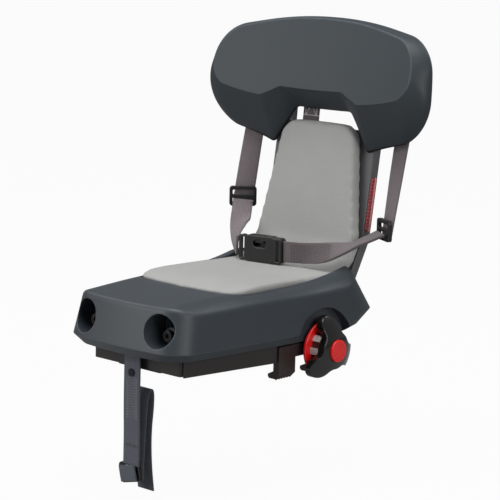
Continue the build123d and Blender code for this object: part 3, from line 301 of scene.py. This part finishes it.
made, tree = start("foam")
place = tree.node("ShaderNodeTexCoord", output="Object")
pores = tree.node("ShaderNodeTexVoronoi", {"Vector": place, "Scale": 900.0})
mottle = noise(tree, scale=30.0, detail=5.0)
speckle = noise(tree, scale=1200.0)
foam_tone = mix(tree, mottle, paint(164, 164, 162), paint(174, 174, 172))
foam_skin = mix(tree, speckle * 0.5, foam_tone, paint(146, 146, 144))
foam_finish = finish(made, tree, foam_skin, 0.86, pores + speckle, depth=0.00018)
print("plain finishes done")

# %% [markdown]
# Webbing is woven flat and 25 mm wide. Its UV map is in metres, across and along, so the weave
# keeps its size on every strap. Cords of warp run along it in a chevron of two crossing waves, and
# the selvedge at both edges is denser and darker. Stitching is a mask of short dashes in the same
# coordinates: `stitches` is a list of (start, end, kind, thread) along the strap.


# %% Webbing
web_width = 0.025
thick_thread, thin_thread = 0.0012, 0.0006


def webbing(name, shade, stitches=()):
    made, tree = start(name)
    cloth = tree.node("ShaderNodeUVMap", uv_map="weave")
    across = tree.node("ShaderNodeSeparateXYZ", {0: cloth}, output="X")
    along = tree.node("ShaderNodeSeparateXYZ", {0: cloth}, output="Y")
    cords = across.wave(0.0021)
    picks = (along + cords * 0.0004).wave(0.0013)
    weave = cords * 0.45 + picks * 0.55
    selvedge = across.size() > 0.0112
    dust = noise(tree, scale=220.0, detail=4.0)
    yarn = mix(tree, weave * 0.75 + dust * 0.25, toned(shade, 0.62), toned(shade, 1.22))
    colour = mix(tree, selvedge * 0.5, yarn, toned(shade, 0.6))
    height = weave
    for first, last, kind, thread in stitches:
        inside = (along > first) * (along < last)
        if kind == "zigzag":
            bend = (along.wave(0.006) - 0.5) * 0.016
            line = ((across - bend).size() < thick_thread) + ((across + bend).size() < thick_thread)
        elif kind == "cross":
            slope = (along - (first + last) / 2) * (0.017 / (last - first))
            line = ((across - slope).size() < thin_thread) + ((across + slope).size() < thin_thread)
            line = line + ((across.size() - 0.0088).size() < thin_thread)
            line = line + ((along - first - 0.0008).size() < thin_thread)
            line = line + ((along - last + 0.0008).size() < thin_thread)
        else:
            line = (across.size() < 0.0105) * (along.wave(0.0022) > 0.45)
        dash = (along + across).wave(0.003) > 0.16
        seam = tree.node("ShaderNodeMath", {0: line * inside * dash, 1: 1.0}, operation="MINIMUM")
        colour = mix(tree, seam, colour, thread)
        height = height + seam * 0.8
    fuzz = {"Sheen Weight": 0.25, "Sheen Roughness": 0.5}
    return finish(made, tree, colour, 0.88, height, depth=0.0005, **fuzz)


# %% [markdown]
# A strap is a grid laid along a smooth line: a NURBS spline whose control points are those of the
# strap's route. The grid's rows are moved onto points read from that spline, each turned to the
# strap's own width there, which gives the twist. Solidify then gives the webbing its thickness.


# %% Laying straps
def strap_line(name, points):
    """Points along the smooth spline that the route's points control."""
    curve = bpy.data.curves.new(name + "_line", "CURVE")
    curve.dimensions = "3D"
    curve.resolution_u = 16
    spline = curve.splines.new("NURBS")
    spline.points.add(len(points) - 1)
    for control, point in zip(spline.points, points):
        control.co = (*point, 1.0)
    spline.order_u = 3
    spline.use_endpoint_u = True
    holder = bpy.data.objects.new(name + "_line", curve)
    bpy.context.collection.objects.link(holder)
    mesh = bpy.data.meshes.new_from_object(holder)
    line = [vertex.co.copy() for vertex in mesh.vertices]
    bpy.data.objects.remove(holder)
    bpy.data.meshes.remove(mesh)
    bpy.data.curves.remove(curve)
    return line


web_thickness = 0.0016
cells_across = 6


def lay_strap(name, stations, thickness=web_thickness):
    """Webbing along stations of (point, width direction), in millimetres."""
    points = [Vector(point) / 1000 for point, across in stations]
    turns = [Vector(across).normalized() for point, across in stations]
    line = strap_line(name, points)
    # Where along the spline each station's width direction holds fully.
    pulls = [0.0] + [index - 0.5 for index in range(1, len(turns) - 1)] + [len(turns) - 2.0]
    shape = bmesh.new()
    bmesh.ops.create_grid(shape, x_segments=cells_across, y_segments=len(line) - 1, size=0.5)
    layer = shape.loops.layers.uv.new("weave")
    runs = [0.0]
    for before, after in zip(line, line[1:]):
        runs.append(runs[-1] + (after - before).length)
    last_row = len(line) - 1
    spots = {v: (v.co.x, round((v.co.y + 0.5) * last_row)) for v in shape.verts}
    for face in shape.faces:
        for corner in face.loops:
            side, row = spots[corner.vert]
            corner[layer].uv = (side * web_width, runs[row])
    for vertex, (side, row) in spots.items():
        run = (line[min(row + 1, last_row)] - line[max(row - 1, 0)]).normalized()
        where = row / last_row * (len(turns) - 2)
        low = max(index for index in range(len(turns) - 1) if pulls[index] <= where)
        share = (where - pulls[low]) / (pulls[low + 1] - pulls[low])
        turn = turns[low].lerp(turns[low + 1], share)
        turn = (turn - run * turn.dot(run)).normalized()
        vertex.co = line[row] + turn * (side * web_width)
    mesh = bpy.data.meshes.new(name)
    shape.to_mesh(mesh)
    shape.free()
    mesh.shade_smooth()
    piece = bpy.data.objects.new(name, mesh)
    bpy.context.collection.objects.link(piece)
    thick = piece.modifiers.new("thickness", "SOLIDIFY")
    thick.thickness = thickness
    thick.offset = 0.0
    edge = piece.modifiers.new("edge", "BEVEL")
    edge.width = 0.0003
    edge.segments = 2
    print(name, "is", round(runs[-1] * 1000), "mm long")
    return piece, line, runs[-1]


def dress(piece, material, node):
    """Finish, body and CAD node of a new piece."""
    piece.data.materials.append(material)
    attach(piece, "seat")
    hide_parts(node)


# %% [markdown]
# The shoulder straps come from behind the headrest, turn as they hang, and end behind the sliders, a
# little lower than in the CAD, so that no gap shows there. The waist straps leave the sliders, twist to
# lie upright and meet in the buckle. They are doubled webbing.

# %% Harness straps
doubled = 0.003
belt_stitches = [(0.064, 0.118, "rows", paint(62, 54, 57))]
back_stitches = [(0.052, 0.082, "cross", paint(226, 224, 224))]
web_plain = webbing("harness_webbing", paint(127, 117, 120))
web_belt = webbing("belt_webbing", paint(108, 98, 101), belt_stitches)
web_cross = webbing("back_webbing", paint(108, 98, 102), back_stitches)

shoulder_right = [
    ((116, 130.6, 300), (1, -0.126, 0)),
    ((116, 128.6, 275), (1, -0.126, 0)),
    ((115.3, 114.3, 208.5), (1, -0.31, 0)),
    ((114.5, 100, 131), (0.891, -0.454, 0)),
]
shoulder_left = [
    ((-116, 130.6, 300), (-1, -0.126, 0)),
    ((-116, 128.6, 275), (-1, -0.126, 0)),
    ((-115.7, 114, 215.5), (-1, -0.49, 0)),
    ((-115.4, 99.4, 145), (-1, -1, 0)),
]
waist_right = [
    ((111, 93, 136), (-0.891, 0.454, 0)),
    ((93, 63, 121), (-0.62, 0.78, 0.1)),
    ((64, 49, 111), (-0.45, 0.45, 0.77)),
    ((34, 46, 106.5), (0, 0, 1)),
    ((6.8, 39.3, 106.2), (0, 0, 1)),
]
waist_left = [
    ((-109.8, 93.8, 150), (1, 1, 0)),
    ((-103, 84, 133), (1, 1, 0)),
    ((-84, 57, 117), (0.4, 0.4, 0.8)),
    ((-57.9, 27.9, 106.2), (0, 0, 1)),
]
back_web = [
    ((-29, 133.3, 342), (1, 0, 0)),
    ((-29, 126.5, 257), (1, 0, 0)),
    ((-29, 118.2, 204), (1, 0, 0)),
]
for name, stations, thickness, material in (
    ("shoulder_strap_right", shoulder_right, web_thickness, web_plain),
    ("shoulder_strap_left", shoulder_left, web_thickness, web_plain),
    ("waist_strap_right", waist_right, doubled, web_belt),
    ("waist_strap_left", waist_left, doubled, web_plain),
    ("back_strap", back_web, web_thickness, web_cross),
):
    piece = lay_strap(name + "_web", stations, thickness)[0]
    dress(piece, material, name)

# %% [markdown]
# The safety strap hangs free from the nose and ties the seat to the bicycle. A short loop of it goes
# over the bars of the ladder buckle, and its tail runs up from there, folds over and hangs down again.

# %% Safety strap
blue_web = paint(88, 93, 104)
zigzag_thread = paint(140, 145, 152)
bar_thread = paint(34, 36, 40)
safety_stitches = [(0.056, 0.104, "zigzag", zigzag_thread), (0.133, 0.137, "rows", bar_thread)]
web_safety = webbing("safety_webbing", blue_web, safety_stitches)
web_tail = webbing("tail_webbing", blue_web)
hanging = [
    ((0, y, z), (1, 0, 0))
    for y, z in ((-204, 48), (-204, 5), (-204.5, -40), (-203.5, -80), (-204, -110))
]
folded = [
    ((0, y, z), (1, 0, 0))
    for y, z in ((-197.7, -127), (-196, -90), (-191, -24), (-179.5, -24), (-188, -92), (-180, -143))
]
strap, strap_points, strap_length = lay_strap("safety_strap_web", hanging)
dress(strap, web_safety, "safety_strap")
tail, tail_points, tail_length = lay_strap("safety_tail_web", folded)
dress(tail, web_tail, "safety_tail")
tilted = (0.971, 0, 0.239)
threaded = [
    (point, tilted) for point in ((-6, -205.6, -111), (-4, -205.9, -120), (-1.6, -205.6, -129))
]
loop = lay_strap("safety_loop_web", threaded)[0]
loop.data.materials.append(web_tail)
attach(loop, "seat")

# %% [markdown]
# The pad is one piece of soft foam. The CAD solid has its outline with sharp edges. A copy of it is
# voxel-remeshed and blown up by a short cloth simulation with air pressure, with a cap on how far a
# point may move, so its edges round off and its top swells slightly. Smoothing before and after takes
# away the steps of the remesh and the small folds of the simulation.


# %% Foam pad
def soften(piece, turns):
    """Draws every vertex towards its neighbours a few times."""
    shape = bmesh.new()
    shape.from_mesh(piece.data)
    axes = {"use_axis_x": True, "use_axis_y": True, "use_axis_z": True}
    for turn in range(turns):
        bmesh.ops.smooth_vert(shape, verts=shape.verts, factor=0.5, **axes)
    shape.to_mesh(piece.data)
    shape.free()


voxel = 0.0025
cloth_frames = 12
most_swell = 0.0006
pad_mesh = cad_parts["seat_pad"].data.copy()
merge = bmesh.new()
merge.from_mesh(pad_mesh)
bmesh.ops.remove_doubles(merge, verts=merge.verts, dist=0.00001)
merge.to_mesh(pad_mesh)
merge.free()
pad = bpy.data.objects.new("foam_pad", pad_mesh)
bpy.context.collection.objects.link(pad)
pad_mesh.materials.clear()
bpy.context.view_layer.objects.active = pad
remesh = pad.modifiers.new("remesh", "REMESH")
remesh.mode = "VOXEL"
remesh.voxel_size = voxel
bpy.ops.object.modifier_apply(modifier="remesh")
soften(pad, 4)
rest = [vertex.co.copy() for vertex in pad.data.vertices]
cloth = pad.modifiers.new("air", "CLOTH")
cloth.settings.use_pressure = True
cloth.settings.uniform_pressure_force = 4.0
cloth.settings.effector_weights.gravity = 0.0
scene = bpy.context.scene
for step in range(1, cloth_frames + 1):
    scene.frame_set(step)
bpy.ops.object.modifier_apply(modifier="air")
scene.frame_set(1)
for vertex, before in zip(pad.data.vertices, rest):
    move = vertex.co - before
    if move.length > most_swell:
        vertex.co = before + move.normalized() * most_swell
soften(pad, 6)
round_off = pad.modifiers.new("round", "SUBSURF")
round_off.levels = 1
round_off.render_levels = 1
pad.data.shade_smooth()
dress(pad, foam_finish, "seat_pad")
print("foam pad vertices:", len(pad.data.vertices))

# %% [markdown]
# The button's spring gets shorter as the button goes in. A CAD mesh never changes, so a copy of the
# coil, with a mesh of its own, stands for it here on the knob.

# %% Button spring
coil = bpy.data.objects.new("spring_coil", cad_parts["button_spring"].data.copy())
bpy.context.collection.objects.link(coil)
coil.data.materials.clear()
coil.data.materials.append(steel_finish)
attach(coil, "knob")
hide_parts("button_spring")
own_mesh(coil)

# %% [markdown]
# Every CAD node that stays gets its finish. A table from node to finish is easier to read than one
# line for each, and a missing node would stop the script.

# %% Finishes on the CAD nodes
finishes = {
    shell_finish: ["seat_shell"],
    headrest_finish: ["headrest_shell"],
    frame_finish: ["back_frame", "headrest_cover"],
    base_finish: ["base_tray", "side_rail_right", "side_rail_left"],
    jaw_finish: ["jaw_right", "jaw_left"],
    rubber_finish: ["front_foot", "carrier_mat"],
    knob_finish: ["knob_cap"],
    drum_finish: ["knob_drum"],
    red_finish: ["knob_flange", "lock_button"],
    reflector_finish: ["reflector_right", "reflector_left"],
    hardware_finish: [
        "slider_right", "slider_left", "buckle_female", "buckle_male", "safety_buckle", "front_bolts",
    ],
    steel_finish: [
        "headrest_screws", "base_screws", "frame_screws", "clamp_plate", "plate_screws", "jaw_nut_right",
        "jaw_nut_left", "clamp_spindle", "spindle_collars", "knob_nut", "strap_screws", "safety_screw",
    ],
    dark_steel_finish: ["safety_rivet"],
}
for material, names in finishes.items():
    for name in names:
        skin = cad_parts[name].data
        skin.materials.clear()
        skin.materials.append(material)
print("finished nodes:", sum(len(names) for names in finishes.values()))

# %% [markdown]
# The room is a pale floor under the lowest end of the strap, in soft light. A large lamp hangs above
# the seat, one stands at its left front and gives the dark plastic its sheen, and a smaller one fills
# its right side. Two small ones, behind and high on the left, draw light along the edges. To the
# camera, the floor and the world are white.

# %% Floor, light and world
floor_mesh = bpy.data.meshes.new("floor")
ground = bmesh.new()
bmesh.ops.create_grid(ground, x_segments=1, y_segments=1, size=12.0)
bmesh.ops.translate(ground, verts=ground.verts, vec=(0, 0, cad_box[0][2] - 0.002))
ground.to_mesh(floor_mesh)
ground.free()
floor = bpy.data.objects.new("floor", floor_mesh)
bpy.context.collection.objects.link(floor)
made, tree = start("pale_floor")
rays = tree.node("ShaderNodeLightPath", output="Is Camera Ray")
matt = tree.node("ShaderNodeBsdfDiffuse", {"Color": (0.35, 0.35, 0.35, 1.0)})
white = tree.node("ShaderNodeEmission", {"Color": (1.0, 1.0, 1.0, 1.0), "Strength": 1.0})
blend = tree.node("ShaderNodeMixShader", {0: rays * 0.96, 1: matt, 2: white})
tree.node("ShaderNodeOutputMaterial", {"Surface": blend})
floor_mesh.materials.append(made)

world = bpy.data.worlds.new("room")
world.use_nodes = True
world.node_tree.nodes.clear()
room = Wire(world.node_tree)
seen = room.node("ShaderNodeLightPath", output="Is Camera Ray")
glossy = room.node("ShaderNodeLightPath", output="Is Glossy Ray")
soft = room.node("ShaderNodeBackground", {"Color": (1.0, 1.0, 1.0, 1.0), "Strength": 0.15})
clear = room.node("ShaderNodeBackground", {"Color": (1.0, 1.0, 1.0, 1.0), "Strength": 1.0})
bright = room.math("MAXIMUM", seen, glossy * 0.12)
sky = room.node("ShaderNodeMixShader", {0: bright, 1: soft, 2: clear})
room.node("ShaderNodeOutputWorld", {"Surface": sky})
bpy.context.scene.world = world


seat_middle = Vector((0, 0, 0.15))


def lamp(name, place, power, size):
    """Square area lamp that looks at the seat."""
    light = bpy.data.lights.new(name, "AREA")
    light.energy = power
    light.size = size
    holder = bpy.data.objects.new(name, light)
    holder.location = place
    aim = seat_middle - Vector(place)
    holder.rotation_euler = aim.to_track_quat("-Z", "Y").to_euler()
    bpy.context.collection.objects.link(holder)


lamp("left", (-1.15, -2.2, 0.95), power=27.0, size=1.4)
lamp("right", (2.44, -0.61, 0.95), power=22.0, size=1.0)
lamp("top", (0.0, -0.35, 2.5), power=46.0, size=1.6)
lamp("rear", (0.67, 1.56, 2.1), power=9.0, size=0.5)
lamp("edge", (-1.75, -0.4, 2.0), power=9.0, size=0.6)

# %% [markdown]
# The camera looks from the front right, slightly from above, through a long lens, so that lines stay
# nearly parallel. It is rolled a little, as the photograph is.

# %% Camera
picture_pixels, focal_pixels = 500, 1944
pixels_per_mm = 0.85
azimuth, elevation, roll = (math.radians(angle) for angle in (42.0, 10.1, 1.35))
target = Vector((0, -0.013, 0.1133))
level_share = math.cos(elevation)
back = Vector(
    (math.sin(azimuth) * level_share, -math.cos(azimuth) * level_share, math.sin(elevation))
)
right = Vector((math.cos(azimuth), math.sin(azimuth), 0))
up = back.cross(right)
lens = bpy.data.cameras.new("camera")
lens.sensor_width = 36.0
lens.lens = lens.sensor_width * focal_pixels / picture_pixels
camera = bpy.data.objects.new("camera", lens)
tilted_right = right * math.cos(roll) + up * math.sin(roll)
tilted_up = up * math.cos(roll) - right * math.sin(roll)
pose = camera.matrix_world.to_3x3()
pose.col[0], pose.col[1], pose.col[2] = tilted_right, tilted_up, back
camera.rotation_euler = pose.to_euler()
camera.location = target + back * (focal_pixels / 1000 / pixels_per_mm)
bpy.context.collection.objects.link(camera)
bpy.context.scene.camera = camera
bpy.context.scene.view_settings.view_transform = "Standard"

# %% The closing line
bpy.context.view_layer.update()
